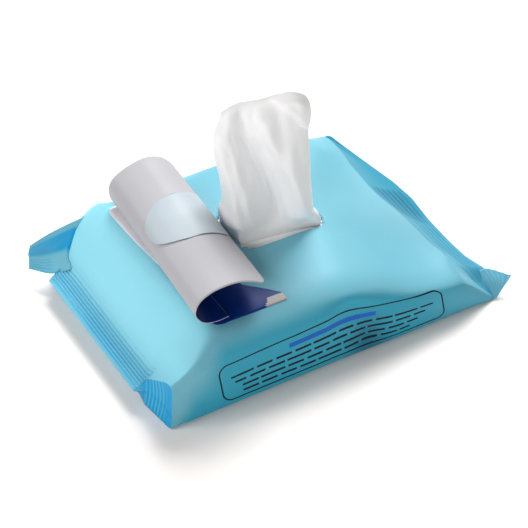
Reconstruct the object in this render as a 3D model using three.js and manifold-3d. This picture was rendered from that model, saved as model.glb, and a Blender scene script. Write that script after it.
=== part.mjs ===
// A soft film pack of wet wipes with an open peel-back label and one wipe pulled up.
// Millimetres, +Z up, +X along the pack from seal to seal, +Y to the back.

import * as THREE from 'three';
import { mergeVertices } from 'three/addons/utils/BufferGeometryUtils.js';
import Module from 'manifold-3d';

// ---------- driving dimensions ----------

const FILM_WALL = 0.8;
const TOUCH_GAP = 0.3;

// the filled body of the pack, between its two end seals
const BODY = {
  leftEnd: -86,
  rightEnd: 81,
  halfWidth: 58.5,
  endHalfWidth: 55,
  topHeight: 38.5,
  rightTopHeight: 34.5,
  waistHeight: 7,
  sealHeight: 8,
};
const LEFT_SHOULDER = -60;
const RIGHT_SHOULDER = 60;
const END_SLOPE = 23;
const UNDERSIDE_RISE = 4;
const UPPER_SQUARENESS = 5.2;
const LOWER_SQUARENESS = 8;
const FLAT_BASE_SHARE = 1.12;
const RING_STEPS = 36;
const LENGTH_STEPS = 26;

// crimped end fins, which flare into ears where the film's sides are tucked in
const FIN_THICKNESS = 1.2;
const LEFT_FIN = { inner: -80, outer: -90, front: -38, back: 46 };
const LEFT_EAR = { height: 14, root: 44, tip: 64, outer: -96, inner: -74 };
const RIGHT_FIN = { inner: 76, outer: 84, front: -40, back: 40 };
const RIGHT_EAR = { height: 7, root: -40, tip: -59, outer: 91, inner: 70 };

// the opening in the top, and the folded wipes below it
const OPENING = { x: 0, y: 2, length: 43, width: 31, corner: 8, depth: 30 };
const STACK = {
  count: 14,
  length: 114,
  width: 93,
  thickness: 1.9,
  pitch: 2.2,
  corner: 3,
  floor: FILM_WALL + TOUCH_GAP,
};

// the two plies of the label, and the piece of film that the upper ply has torn out
const LABEL = {
  left: -60,
  right: -20,
  front: -47,
  back: 45,
  baseThickness: 0.5,
  flapThickness: 0.6,
  patchThickness: 0.5,
};
const BASE_WEDGE = { sideRight: -34, tipDepth: 4, spread: 16 };
const CURL_LEAN = { root: 7, freeEdge: 2.5, freeEdgeRise: 4.5 };
const PATCH = { middle: 1.5, halfWidth: 15.5, length: 40 };
const LABEL_STEPS = 28;

// the wipe that stands up through the opening
const RAISED_WIPE = {
  foot: STACK.floor + STACK.count * STACK.pitch,
  top: 103,
  leftDrop: 9,
  thickness: 2.4,
  acrossSteps: 36,
  upSteps: 16,
};

const { smoothstep, lerp } = THREE.MathUtils;
const wasm = await Module();
wasm.setup();

// ---------- mesh helpers ----------

function mergedByPosition(geometry) {
  const bare = geometry.clone();
  bare.deleteAttribute('normal');
  bare.deleteAttribute('uv');
  return mergeVertices(bare, 1e-4);
}

function reshape(geometry, place) {
  const merged = mergedByPosition(geometry);
  const points = merged.attributes.position;
  const point = new THREE.Vector3();
  for (let i = 0; i < points.count; i += 1) {
    point.fromBufferAttribute(points, i);
    const moved = place(point);
    points.setXYZ(i, moved.x, moved.y, moved.z);
  }
  return merged;
}

function toSolid(geometry) {
  const merged = mergedByPosition(geometry);
  return new wasm.Manifold(new wasm.Mesh({
    numProp: 3,
    vertProperties: Float32Array.from(merged.attributes.position.array),
    triVerts: Uint32Array.from(merged.index.array),
  }));
}

function toGeometry(solid) {
  const mesh = solid.getMesh();
  const geometry = new THREE.BufferGeometry();
  geometry.setAttribute('position', new THREE.BufferAttribute(mesh.vertProperties, 3));
  geometry.setIndex(new THREE.BufferAttribute(mesh.triVerts, 1));
  return geometry;
}

function material(color, roughness) {
  return new THREE.MeshStandardMaterial({ color, roughness, metalness: 0 });
}

function piece(name, geometry, finish) {
  const mesh = new THREE.Mesh(geometry, finish);
  mesh.name = name;
  return mesh;
}

// ---------- the body's outer form ----------

// 1 over the stack of wipes, falling to 0 at each end seal
function fullness(x) {
  const left = smoothstep(x, LEFT_SHOULDER - END_SLOPE, LEFT_SHOULDER);
  const right = 1 - smoothstep(x, RIGHT_SHOULDER, RIGHT_SHOULDER + END_SLOPE);
  return Math.min(left, right);
}

// the filled part is a little lower toward the right end
function crownHeight(x) {
  return lerp(BODY.topHeight, BODY.rightTopHeight, smoothstep(x, 0, RIGHT_SHOULDER));
}

function sectionAt(x) {
  const full = fullness(x);
  const underLeft = smoothstep(x, BODY.leftEnd, BODY.leftEnd + UNDERSIDE_RISE);
  const underRight = 1 - smoothstep(x, BODY.rightEnd - UNDERSIDE_RISE, BODY.rightEnd);
  const halfFin = FIN_THICKNESS / 2;
  const lifted = 1 - Math.min(underLeft, underRight);
  return {
    halfWidth: lerp(BODY.endHalfWidth, BODY.halfWidth, full ** 0.25),
    top: lerp(BODY.sealHeight + halfFin, crownHeight(x), full),
    waist: lerp(BODY.sealHeight, BODY.waistHeight, full),
    bottom: lerp(0, BODY.sealHeight - halfFin, lifted),
  };
}

// height of the film's upper face over a point of the plan
function topSurface(x, y) {
  const section = sectionAt(x);
  const across = Math.min(1, Math.abs(y) / section.halfWidth);
  const rise = (1 - across ** UPPER_SQUARENESS) ** (1 / UPPER_SQUARENESS);
  return lerp(section.waist, section.top, rise);
}

function ringPoint(x, angle, inset) {
  const section = sectionAt(x);
  const out = Math.cos(angle);
  const up = Math.sin(angle);
  const squareness = up >= 0 ? UPPER_SQUARENESS : LOWER_SQUARENESS;
  const across = Math.sign(out) * Math.abs(out) ** (2 / squareness);
  const rise = Math.abs(up) ** (2 / squareness);
  const y = across * (section.halfWidth - inset);
  if (up >= 0) {
    return new THREE.Vector3(x, y, lerp(section.waist, section.top - inset, rise));
  }
  const drop = Math.min(1, rise * FLAT_BASE_SHARE);
  return new THREE.Vector3(x, y, lerp(section.waist, section.bottom + inset, drop));
}

// a closed tube along X; its two flat ends close the section
function filmBody(inset, leftEnd, rightEnd) {
  const tube = new THREE.CylinderGeometry(1, 1, 1, RING_STEPS, LENGTH_STEPS);
  return reshape(tube, (point) => {
    const x = lerp(leftEnd, rightEnd, point.y + 0.5);
    if (Math.hypot(point.x, point.z) < 0.5) {
      const section = sectionAt(x);
      return new THREE.Vector3(x, 0, section.waist);
    }
    return ringPoint(x, Math.atan2(point.x, point.z), inset);
  });
}

// ---------- film pack ----------

function roundedRectangle(length, width, corner) {
  const x = length / 2;
  const y = width / 2;
  const shape = new THREE.Shape();
  shape.moveTo(-x + corner, -y);
  shape.lineTo(x - corner, -y);
  shape.absarc(x - corner, -y + corner, corner, -Math.PI / 2, 0);
  shape.lineTo(x, y - corner);
  shape.absarc(x - corner, y - corner, corner, 0, Math.PI / 2);
  shape.lineTo(-x + corner, y);
  shape.absarc(-x + corner, y - corner, corner, Math.PI / 2, Math.PI);
  shape.lineTo(-x, -y + corner);
  shape.absarc(-x + corner, -y + corner, corner, Math.PI, 1.5 * Math.PI);
  return shape;
}

function finPlate(outline, height) {
  const shape = new THREE.Shape(outline.map(([x, y]) => new THREE.Vector2(x, y)));
  const plate = new THREE.ExtrudeGeometry(shape, { depth: FIN_THICKNESS, bevelEnabled: false });
  plate.translate(0, 0, height - FIN_THICKNESS / 2);
  return plate;
}

function fin({ inner, outer, front, back }) {
  const corners = [[inner, front], [inner, back], [outer, back], [outer, front]];
  return finPlate(corners, BODY.sealHeight);
}

// a folded corner of film that stands out past the end of a seal
function ear({ height, root, tip, outer, inner }) {
  const halfway = (root + tip) / 2;
  const corners = [
    [inner, root],
    [inner, halfway],
    [lerp(inner, outer, 0.7), tip],
    [outer, halfway],
    [lerp(inner, outer, 0.6), root],
  ];
  return finPlate(corners, height);
}

function openingCutter() {
  const outline = roundedRectangle(OPENING.length, OPENING.width, OPENING.corner);
  const cutter = new THREE.ExtrudeGeometry(outline, {
    depth: OPENING.depth,
    bevelEnabled: false,
    curveSegments: 6,
  });
  cutter.translate(OPENING.x, OPENING.y, BODY.topHeight - OPENING.depth / 2);
  return cutter;
}

function makeFilmPack() {
  const cavityMargin = 6;
  const outside = toSolid(filmBody(0, BODY.leftEnd, BODY.rightEnd));
  const cavity = toSolid(filmBody(
    FILM_WALL,
    BODY.leftEnd + cavityMargin,
    BODY.rightEnd - cavityMargin,
  ));
  const film = outside
    .add(toSolid(fin(LEFT_FIN)))
    .add(toSolid(fin(RIGHT_FIN)))
    .add(toSolid(ear(LEFT_EAR)))
    .add(toSolid(ear(RIGHT_EAR)))
    .subtract(cavity)
    .subtract(toSolid(openingCutter()));
  return piece('film_pack', toGeometry(film), material(0x8fd3e8, 0.35));
}

// ---------- folded wipes ----------

function makeFoldedWipe(level) {
  const shape = roundedRectangle(STACK.length, STACK.width, STACK.corner);
  const slab = new THREE.ExtrudeGeometry(shape, {
    depth: STACK.thickness,
    bevelEnabled: false,
    curveSegments: 3,
  });
  const label = String(level + 1).padStart(2, '0');
  const wipe = piece(`folded_wipe_${label}`, mergedByPosition(slab), material(0xe6e7e8, 0.9));
  wipe.position.z = STACK.floor + level * STACK.pitch;
  return wipe;
}

// ---------- the raised wipe ----------

// plan of the gathered wipe where it passes the opening, and at its upper edge
const gatherAtOpening = new THREE.CatmullRomCurve3([
  new THREE.Vector3(-18, 14, 0),
  new THREE.Vector3(-19.3, 3, 0),
  new THREE.Vector3(-17.5, -8.5, 0),
  new THREE.Vector3(-8, -11.2, 0),
  new THREE.Vector3(6, -11, 0),
  new THREE.Vector3(17.5, -8, 0),
  new THREE.Vector3(17, 0, 0),
  new THREE.Vector3(6, 3, 0),
]);
const gatherAtTop = new THREE.CatmullRomCurve3([
  new THREE.Vector3(-15, 18, 0),
  new THREE.Vector3(-21, 13, 0),
  new THREE.Vector3(-15, 7, 0),
  new THREE.Vector3(-5, 3, 0),
  new THREE.Vector3(3, -4, 0),
  new THREE.Vector3(12, -8, 0),
  new THREE.Vector3(16, -4, 0),
  new THREE.Vector3(10, 2, 0),
]);

function makeRaisedWipe() {
  const sheet = new THREE.BoxGeometry(
    1,
    RAISED_WIPE.thickness,
    1,
    RAISED_WIPE.acrossSteps,
    1,
    RAISED_WIPE.upSteps,
  );
  const bent = reshape(sheet, (point) => {
    const share = point.x + 0.5;
    const height = point.z + 0.5;
    const low = gatherAtOpening.getPoint(share);
    const high = gatherAtTop.getPoint(share);
    const along = gatherAtOpening.getTangent(share)
      .lerp(gatherAtTop.getTangent(share), height)
      .normalize();
    const middle = low.lerp(high, smoothstep(height, 0, 1));
    const edge = RAISED_WIPE.top - RAISED_WIPE.leftDrop * (1 - smoothstep(share, 0, 0.7));
    return new THREE.Vector3(
      middle.x - along.y * point.y,
      middle.y + along.x * point.y,
      lerp(RAISED_WIPE.foot, edge, height),
    );
  });
  return piece('raised_wipe', bent, material(0xe9eaec, 0.9));
}

// ---------- label ----------

// right edge of the lower ply: it runs out into a narrow wedge at its front corner
function baseRightEdge(y) {
  const behindTip = Math.max(0, y - LABEL.front - BASE_WEDGE.tipDepth);
  return lerp(LABEL.right, BASE_WEDGE.sideRight, Math.min(1, behindTip / BASE_WEDGE.spread));
}

function makeLabelBase() {
  const sheet = new THREE.BoxGeometry(1, 1, 1, 8, 23, 1);
  const laid = reshape(sheet, (point) => {
    const y = lerp(LABEL.front, LABEL.back, point.y + 0.5);
    const x = lerp(LABEL.left, baseRightEdge(y), point.x + 0.5);
    const above = TOUCH_GAP + LABEL.baseThickness * (point.z + 0.5);
    return new THREE.Vector3(x, y, topSurface(x, y) + above);
  });
  return piece('label_base', laid, material(0x0a2f7a, 0.4));
}

// side view of the upper ply: along the base, round to the left and back over the top
const curl = new THREE.CatmullRomCurve3([
  new THREE.Vector3(-49, 0, 40.1),
  new THREE.Vector3(-55, 0, 40.2),
  new THREE.Vector3(-61.2, 0, 42),
  new THREE.Vector3(-64.6, 0, 47.5),
  new THREE.Vector3(-62.5, 0, 53),
  new THREE.Vector3(-56.5, 0, 56),
  new THREE.Vector3(-49.5, 0, 56.6),
  new THREE.Vector3(-43, 0, 55.6),
  new THREE.Vector3(-36, 0, 52.6),
  new THREE.Vector3(-30.7, 0, 49),
]);

// a point of the curled ply: share 0 at its root, 1 at its free edge, lift off its outer face
function curlPoint(share, y, lift) {
  const middle = curl.getPointAt(share);
  const along = curl.getTangentAt(share);
  const depth = (y - LABEL.front) / (LABEL.back - LABEL.front);
  const opened = smoothstep(share, 0, 0.35);
  const uncurled = smoothstep(share, 0.45, 1);
  const lean = depth * opened * lerp(CURL_LEAN.root, CURL_LEAN.freeEdge, uncurled);
  const rise = depth * uncurled * CURL_LEAN.freeEdgeRise;
  return new THREE.Vector3(
    middle.x - along.z * lift + lean,
    y,
    middle.z + along.x * lift + rise,
  );
}

function makeLabelFlap() {
  const sheet = new THREE.BoxGeometry(1, 1, 1, LABEL_STEPS, 6, 1);
  const bent = reshape(sheet, (point) => {
    const y = lerp(LABEL.front, LABEL.back, point.y + 0.5);
    return curlPoint(point.x + 0.5, y, LABEL.flapThickness * point.z);
  });
  return piece('label_flap', bent, material(0xd6d5da, 0.35));
}

function makeFilmPatch() {
  const wholeLength = curl.getLength();
  const tipRound = 0.45;
  const clearance = LABEL.flapThickness / 2 + TOUCH_GAP;
  const sheet = new THREE.BoxGeometry(1, 1, 1, 16, 8, 1);
  const bent = reshape(sheet, (point) => {
    const fromTip = point.x + 0.5;
    const away = PATCH.length * (1 - fromTip);
    const share = 1 - (away + 1) / wholeLength;
    const towardTip = Math.max(0, (tipRound - fromTip) / tipRound);
    const halfWidth = PATCH.halfWidth * Math.sqrt(1 - 0.9 * towardTip ** 2);
    const y = PATCH.middle + 2 * point.y * halfWidth;
    return curlPoint(share, y, clearance + LABEL.patchThickness * (point.z + 0.5));
  });
  return piece('film_cutout', bent, material(0xc8d6de, 0.3));
}

// ---------- assembly ----------

const wipesPack = new THREE.Group();
wipesPack.add(makeFilmPack());
for (let level = 0; level < STACK.count; level += 1) {
  wipesPack.add(makeFoldedWipe(level));
}
wipesPack.add(makeRaisedWipe());
wipesPack.add(makeLabelBase());
wipesPack.add(makeLabelFlap());
wipesPack.add(makeFilmPatch());

// the origin is under the middle of the whole object
const extent = new THREE.Box3().setFromObject(wipesPack);
const middle = extent.getCenter(new THREE.Vector3());
wipesPack.position.set(-middle.x, -middle.y, -extent.min.z);

export default wipesPack;
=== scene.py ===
"""Looks of a soft film pack of wet wipes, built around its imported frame.

Every shape is worked out in millimetres from the middle of the stack of wipes and set in the
frame's metres at the end. The pack lies along X with its reseal label near the left end.
"""

import math

import bmesh
import bpy
from bpy.props import FloatProperty, FloatVectorProperty, IntProperty, PointerProperty
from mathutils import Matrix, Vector, noise


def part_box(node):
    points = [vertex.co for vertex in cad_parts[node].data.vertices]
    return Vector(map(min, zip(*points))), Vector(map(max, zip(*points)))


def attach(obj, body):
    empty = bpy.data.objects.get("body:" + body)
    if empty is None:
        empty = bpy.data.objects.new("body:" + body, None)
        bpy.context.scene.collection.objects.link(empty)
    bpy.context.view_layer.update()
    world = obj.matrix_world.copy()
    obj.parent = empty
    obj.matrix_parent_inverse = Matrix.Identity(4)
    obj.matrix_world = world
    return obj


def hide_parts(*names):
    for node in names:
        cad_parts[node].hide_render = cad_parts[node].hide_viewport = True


bl_info = {
    "name": "Wipes Pack",
    "version": (1, 0, 0),
    "blender": (4, 5, 0),
    "location": "View3D > Sidebar > Wipes Pack",
    "description": "Builds the film, label and wipes of an open soft pack of wet wipes",
    "category": "Object",
}

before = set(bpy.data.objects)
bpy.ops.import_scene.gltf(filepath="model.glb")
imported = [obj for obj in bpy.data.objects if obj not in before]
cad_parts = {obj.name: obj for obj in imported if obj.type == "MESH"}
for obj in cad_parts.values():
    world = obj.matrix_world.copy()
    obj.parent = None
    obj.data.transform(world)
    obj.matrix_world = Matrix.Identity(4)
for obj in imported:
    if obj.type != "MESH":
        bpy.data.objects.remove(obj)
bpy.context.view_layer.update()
MM = 0.001

STACK_NODES = sorted(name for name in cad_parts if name.startswith("folded_wipe_"))


# ---------- places taken from the frame ----------


def node_box_mm(node):
    """A node's lowest and highest corners, in millimetres."""
    low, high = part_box(node)
    return Vector(low) / MM, Vector(high) / MM


def middle_of_stack():
    """The point of the ground under the middle of the folded wipes, in millimetres."""
    low, high = node_box_mm(STACK_NODES[0])
    return Vector(((low.x + high.x) / 2, (low.y + high.y) / 2, 0.0))


CENTRE = middle_of_stack()


def local_box(node):
    """A node's corners in millimetres, measured from the middle of the stack."""
    low, high = node_box_mm(node)
    return low - CENTRE, high - CENTRE


FILM_HIGH = local_box("film_pack")[1]
BASE_LOW, BASE_HIGH = local_box("label_base")
FLAP_LOW, FLAP_HIGH = local_box("label_flap")
STACK_LOW = local_box(STACK_NODES[0])[0]
STACK_HIGH = local_box(STACK_NODES[-1])[1]


# ---------- settings ----------


class FilmSettings(bpy.types.PropertyGroup):
    colour: FloatVectorProperty(
        name="Film colour", description="Printed colour of the film", subtype="COLOR",
        size=3, default=(0.165, 0.455, 0.56), min=0.0, max=1.0)
    # Painted shade: the colour that folds, crimp grooves, gusset walls and the right end take in
    # place of their shading.
    painted_fold_shade_colour: FloatVectorProperty(
        name="Fold colour", description="Deeper colour in folds and grooves", subtype="COLOR",
        size=3, default=(0.003, 0.31, 0.61), min=0.0, max=1.0)
    # Painted highlight: the paler colour of the left slope, where it faces the light.
    painted_highlight_colour: FloatVectorProperty(
        name="Pale colour", description="Paler print towards the left end",
        subtype="COLOR", size=3, default=(0.30, 0.74, 0.88), min=0.0, max=1.0)
    # Painted shade: the colour that the front side and the right end take where they face away from
    # the light.
    painted_side_shade_colour: FloatVectorProperty(
        name="Front colour", description="Deeper printed colour of the front side",
        subtype="COLOR", size=3, default=(0.035, 0.34, 0.48), min=0.0, max=1.0)
    # Painted shade at the bottom of the front dent and in the right end's crimp lines and patch.
    painted_deep_shade_colour: FloatVectorProperty(
        name="Deep colour", description="Film colour in the deepest crease", subtype="COLOR",
        size=3, default=(0.015, 0.11, 0.19), min=0.0, max=1.0)
    ink_colour: FloatVectorProperty(
        name="Ink colour", description="Colour of the outline and dashes", subtype="COLOR",
        size=3, default=(0.001, 0.003, 0.008), min=0.0, max=1.0)
    thickness: FloatProperty(
        name="Film thickness", description="Thickness of the film sheet", unit="LENGTH",
        default=0.00025, min=0.0001)
    crimps: IntProperty(
        name="Crimp ridges", description="Number of ridges across an end seal", default=8, min=2)


class LabelSettings(bpy.types.PropertyGroup):
    outside_colour: FloatVectorProperty(
        name="Outside colour", description="Plain outer face of the label", subtype="COLOR",
        size=3, default=(0.44, 0.435, 0.46), min=0.0, max=1.0)
    inside_colour: FloatVectorProperty(
        name="Inside colour", description="Dark inner face of the label", subtype="COLOR",
        size=3, default=(0.0, 0.022, 0.16), min=0.0, max=1.0)
    cutout_colour: FloatVectorProperty(
        name="Cut film colour", description="Piece of film stuck on the flap",
        subtype="COLOR", size=3, default=(0.385, 0.44, 0.475), min=0.0, max=1.0)
    thickness: FloatProperty(
        name="Label thickness", description="Thickness of one ply", unit="LENGTH",
        default=0.0003, min=0.0001)


class WipeSettings(bpy.types.PropertyGroup):
    colour: FloatVectorProperty(
        name="Wipe colour", description="Colour of the damp fabric", subtype="COLOR",
        size=3, default=(0.95, 0.95, 0.955), min=0.0, max=1.0)
    thickness: FloatProperty(
        name="Wipe thickness", description="Thickness of one layer of fabric", unit="LENGTH",
        default=0.0005, min=0.0002)


class StageSettings(bpy.types.PropertyGroup):
    floor_colour: FloatVectorProperty(
        name="Floor colour", description="Colour of the plain floor", subtype="COLOR",
        size=3, default=(0.96, 0.915, 0.885), min=0.0, max=1.0)
    camera_distance: FloatProperty(
        name="Camera distance", description="From the camera to the point it looks at",
        unit="LENGTH", default=0.85, min=0.1)
    camera_height: FloatProperty(
        name="Camera elevation", description="Angle of the view above the floor",
        subtype="ANGLE", default=math.radians(40.2))
    camera_turn: FloatProperty(
        name="Camera azimuth", description="Angle of the view round the pack",
        subtype="ANGLE", default=math.radians(-30.5))
    lens: FloatProperty(
        name="Lens", description="Focal length of the camera in millimetres",
        default=125.5, min=10.0)


class PackSettings(bpy.types.PropertyGroup):
    film: PointerProperty(type=FilmSettings)
    label: PointerProperty(type=LabelSettings)
    wipe: PointerProperty(type=WipeSettings)
    stage: PointerProperty(type=StageSettings)


def settings():
    return bpy.context.scene.wipes_pack


# ---------- small mathematics ----------

FINE_STEPS = 400


def lerp(a, b, t):
    return a + (b - a) * t


def clamp(t):
    return min(1.0, max(0.0, t))


def smooth(t, low=0.0, high=1.0):
    """0 below low, 1 above high and a smooth rise between."""
    s = clamp((t - low) / (high - low))
    return s * s * (3.0 - 2.0 * s)


def plateau(t, low, high, late, end):
    """A smooth rise from low to high and a smooth fall from late to end."""
    return smooth(t, low, high) * (1.0 - smooth(t, late, end))


def bell(distance, width):
    """1 at no distance, falling to almost 0 at twice the width."""
    return math.exp(-((distance / width) ** 2))


def curve_between(p0, p1, p2, p3, s):
    """A point from p1 to p2 on the smooth curve through four points, s from 0 to 1."""
    return 0.5 * (
        p1 * 2.0
        + (p2 - p0) * s
        + (p0 * 2.0 - p1 * 5.0 + p2 * 4.0 - p3) * s * s
        + (p1 * 3.0 - p0 - p2 * 3.0 + p3) * s * s * s
    )


def spline(points, t):
    """A point on a smooth curve through the given points, t from 0 to 1."""
    place = clamp(t) * (len(points) - 1)
    i = min(int(place), len(points) - 2)
    p1 = Vector(points[i])
    p2 = Vector(points[i + 1])
    p0 = Vector(points[i - 1]) if i > 0 else p1 * 2.0 - p2
    p3 = Vector(points[i + 2]) if i + 2 < len(points) else p2 * 2.0 - p1
    return curve_between(p0, p1, p2, p3, place - i)


def closed_spline(points, share):
    """A point of a smooth closed curve through the given points."""
    count = len(points)
    place = (share % 1.0) * count
    i = int(place)
    corners = (Vector(points[(i + k) % count]) for k in (-1, 0, 1, 2))
    return curve_between(*corners, place - i)


def even_spline(points, count):
    """Points at even steps along a smooth curve through the given points."""
    fine = [spline(points, i / FINE_STEPS) for i in range(FINE_STEPS + 1)]
    lengths = [0.0]
    for before, after in zip(fine, fine[1:]):
        lengths.append(lengths[-1] + (after - before).length)
    found = []
    i = 0
    for step in range(count + 1):
        wanted = lengths[-1] * step / count
        while i < len(lengths) - 2 and lengths[i + 1] < wanted:
            i += 1
        gap = max(1e-9, lengths[i + 1] - lengths[i])
        found.append(fine[i].lerp(fine[i + 1], clamp((wanted - lengths[i]) / gap)))
    return found


def soft_noise(x, y, z, size):
    """Smooth noise between about -1 and 1, with features of the given size in millimetres."""
    return noise.noise(Vector((x / size, y / size, z / size)))


# ---------- mesh helpers ----------


def to_frame(point):
    """A point in millimetres from the middle of the stack, in the frame's metres."""
    return (Vector(point) + CENTRE) * MM


def grid_share(vertex):
    """Shares u and v, from 0 to 1, of a vertex of a new grid that reaches from -1 to 1."""
    return clamp((vertex.co.x + 1.0) / 2.0), clamp((vertex.co.y + 1.0) / 2.0)


def grid_sheet(bm, columns, rows, place):
    """Adds a grid and sets each of its points by place(u, v), with u and v from 0 to 1."""
    made = bmesh.ops.create_grid(bm, x_segments=columns, y_segments=rows, size=1.0)
    for vertex in made["verts"]:
        vertex.co = to_frame(place(*grid_share(vertex)))


def finish_mesh(bm, name, materials, smooth_shading=True):
    """Turns a bmesh into an object at the origin with its materials."""
    mesh = bpy.data.meshes.new(name)
    bm.to_mesh(mesh)
    bm.free()
    for finish in materials:
        mesh.materials.append(finish)
    for polygon in mesh.polygons:
        polygon.use_smooth = smooth_shading
    piece = bpy.data.objects.new(name, mesh)
    bpy.context.scene.collection.objects.link(piece)
    return piece


def thicken(piece, thickness, offset=0.0, inner_slot=0):
    """Gives a sheet its thickness."""
    wall = piece.modifiers.new("Thickness", "SOLIDIFY")
    wall.thickness = thickness
    wall.offset = offset
    wall.material_offset = inner_slot


def corner_inset(from_end, corner):
    """How far a rounded corner draws a side in, at a distance from that side's end."""
    if from_end >= corner:
        return 0.0
    return corner - math.sqrt(max(0.0, corner ** 2 - (corner - from_end) ** 2))


def rounded_distance(x, y, half_x, half_y, corner):
    """Signed distance from a rounded rectangle's outline, negative inside."""
    out_x = abs(x) - half_x + corner
    out_y = abs(y) - half_y + corner
    outside = math.hypot(max(out_x, 0.0), max(out_y, 0.0))
    return outside + min(max(out_x, out_y), 0.0) - corner


# ---------- shader helpers ----------


def new_material(name):
    made = bpy.data.materials.new(name)
    made.use_nodes = True
    return made


def add_node(made, kind, **values):
    node = made.node_tree.nodes.new(kind)
    for key, value in values.items():
        setattr(node, key, value)
    return node


def link(made, source, target):
    made.node_tree.links.new(source, target)


def shader_of(made):
    return made.node_tree.nodes["Principled BSDF"]


def value_of(made, operation, first, second=None, clamped=False):
    """A Math node; first and second are sockets or numbers."""
    node = add_node(made, "ShaderNodeMath", operation=operation, use_clamp=clamped)
    for socket, source in zip(node.inputs, (first, second)):
        if source is None:
            continue
        if isinstance(source, (int, float)):
            socket.default_value = source
        else:
            link(made, source, socket)
    return node.outputs[0]


def mixed_colour(made, factor, first, second):
    """A Mix node between two colours, which are sockets or triples."""
    node = add_node(made, "ShaderNodeMix", data_type="RGBA")
    link(made, factor, node.inputs["Factor"])
    for socket, source in ((node.inputs[6], first), (node.inputs[7], second)):
        if isinstance(source, bpy.types.NodeSocket):
            link(made, source, socket)
        else:
            socket.default_value = (*source, 1.0)
    return node.outputs[2]


def object_noise(made, scale, detail):
    """Noise on the object's own coordinates."""
    place = add_node(made, "ShaderNodeTexCoord")
    pattern = add_node(made, "ShaderNodeTexNoise")
    pattern.inputs["Scale"].default_value = scale
    pattern.inputs["Detail"].default_value = detail
    pattern.inputs["Roughness"].default_value = 0.55
    link(made, place.outputs["Object"], pattern.inputs["Vector"])
    return pattern.outputs["Fac"]


def attribute(made, name):
    """The value that the mesh stores under a name."""
    return add_node(made, "ShaderNodeAttribute", attribute_name=name).outputs["Fac"]


def coordinates(made, vector):
    """The three numbers of a vector socket."""
    node = add_node(made, "ShaderNodeSeparateXYZ")
    link(made, vector, node.inputs[0])
    return node.outputs


def scaled(colour, by):
    """A paler or darker shade of a colour."""
    return tuple(min(1.0, part * by) for part in colour)


def mottled_material(name, noise_scale, detail, colours, roughness, specular=0.5):
    """A plain material whose colour drifts between two near shades."""
    made = new_material(name)
    shader = shader_of(made)
    cloudy = object_noise(made, noise_scale, detail)
    link(made, mixed_colour(made, cloudy, *colours), shader.inputs["Base Color"])
    shader.inputs["Roughness"].default_value = roughness
    shader.inputs["Specular IOR Level"].default_value = specular
    return made


def add_bump(made, height, strength, distance):
    """A Bump node on the shader's normal."""
    node = add_node(made, "ShaderNodeBump")
    node.inputs["Strength"].default_value = strength
    node.inputs["Distance"].default_value = distance
    link(made, height, node.inputs["Height"])
    link(made, node.outputs["Normal"], shader_of(made).inputs["Normal"])


# ---------- the film's form ----------

HALF_WIDTH = 58.3
TOP_HEIGHT = FILM_HIGH.z
WAIST = 7.0
WAIST_SHARE = 0.45
UNDERSIDE_SPREAD = 1.08
TOP_SQUARENESS = 5.2
CORNER_SQUARENESS = 9.0
LOW_SQUARENESS = 14.0
SEAL_HEIGHT = 8.5
LEFT_EDGE = -90.0
LEFT_WALL = -83.5
LEFT_SEAL_ROOT = -77.0
LEFT_SHOULDER = -59.0
SEAL_FRONT = -38.0
SEAL_BACK = 47.0
RIDGES_START = 1.5
RIDGES_END = 12.2
RIGHT_TOP = 26.5
RIGHT_TOP_BACK_RISE = 4.0
FRONT_FALL = 6.0
FRONT_CORNER_FALL = 20.0
FALL_START = 2.0
FALL_START_BACK_SHIFT = 36.0
FALL_END = 64.0
GUSSET_HEIGHT = 25.0
GUSSET_HOLLOW = 1.6
SEAL_THICKNESS = 0.35
SEAL_SLOPE = 0.28
SEAL_RIDGE_HEIGHT = 0.36
RIGHT_RIDGE_HEIGHT = 0.22
RIGHT_RIDGE_COUNT = 7.0
DENT_DEPTH = 4.6
DENT_WIDTH = 7.5
RING = 236
PANEL_STEPS = 8
SEAL_STEPS = 56
SLOPE_STEPS = 14
BODY_STEPS = 60
RIGHT_STEPS = 28
OPENING_HALF = (21.5, 15.5)
OPENING_MIDDLE = (0.0, 2.0)
OPENING_CORNER = 8.0
SNAP_REACH = 0.95
PRINT_REACH = 30.0
OFF_PRINT = 9.0
PRINT_UNIT = 100.0

# how far along the pack the fold above the right end lies, by the distance across it
RIDGE_LINE = [
    (-58.3, 81.5), (-54, 75.5), (-45, 66.0), (-31, 62.4), (-15, 60.2), (-3, 58.4),
    (6, 57.6), (26, 57), (47, 59.5), (58.3, 60)]
# the right end's free edge: distance across, distance along, height
RIGHT_EDGE_LINE = [
    (-58.3, 82.0, 0.9), (-52, 83.5, 3.0), (-47, 84.2, 7.8), (-36, 81.0, 8.8),
    (-22, 82.2, 7.0), (-5, 82.0, 8.4), (8, 80.8, 13.0), (19, 77.5, 16.6),
    (35, 70.0, 22.5), (47, 62.8, 28.8), (58.3, 61.2, 29.5)]


def along_table(table, key):
    """Values of a table at a key, drawn straight between its rows."""
    if key <= table[0][0]:
        return table[0][1:]
    for low, high in zip(table, table[1:]):
        if key <= high[0]:
            t = (key - low[0]) / (high[0] - low[0])
            return tuple(lerp(a, b, t) for a, b in zip(low[1:], high[1:]))
    return table[-1][1:]


def section(direction, squareness):
    """Shares of half the width and of the rise at a direction round the section."""
    across = math.cos(direction)
    up = math.sin(direction)
    reach = (abs(across) ** squareness + abs(up) ** squareness) ** (-1.0 / squareness)
    return across * reach, up * reach


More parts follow.
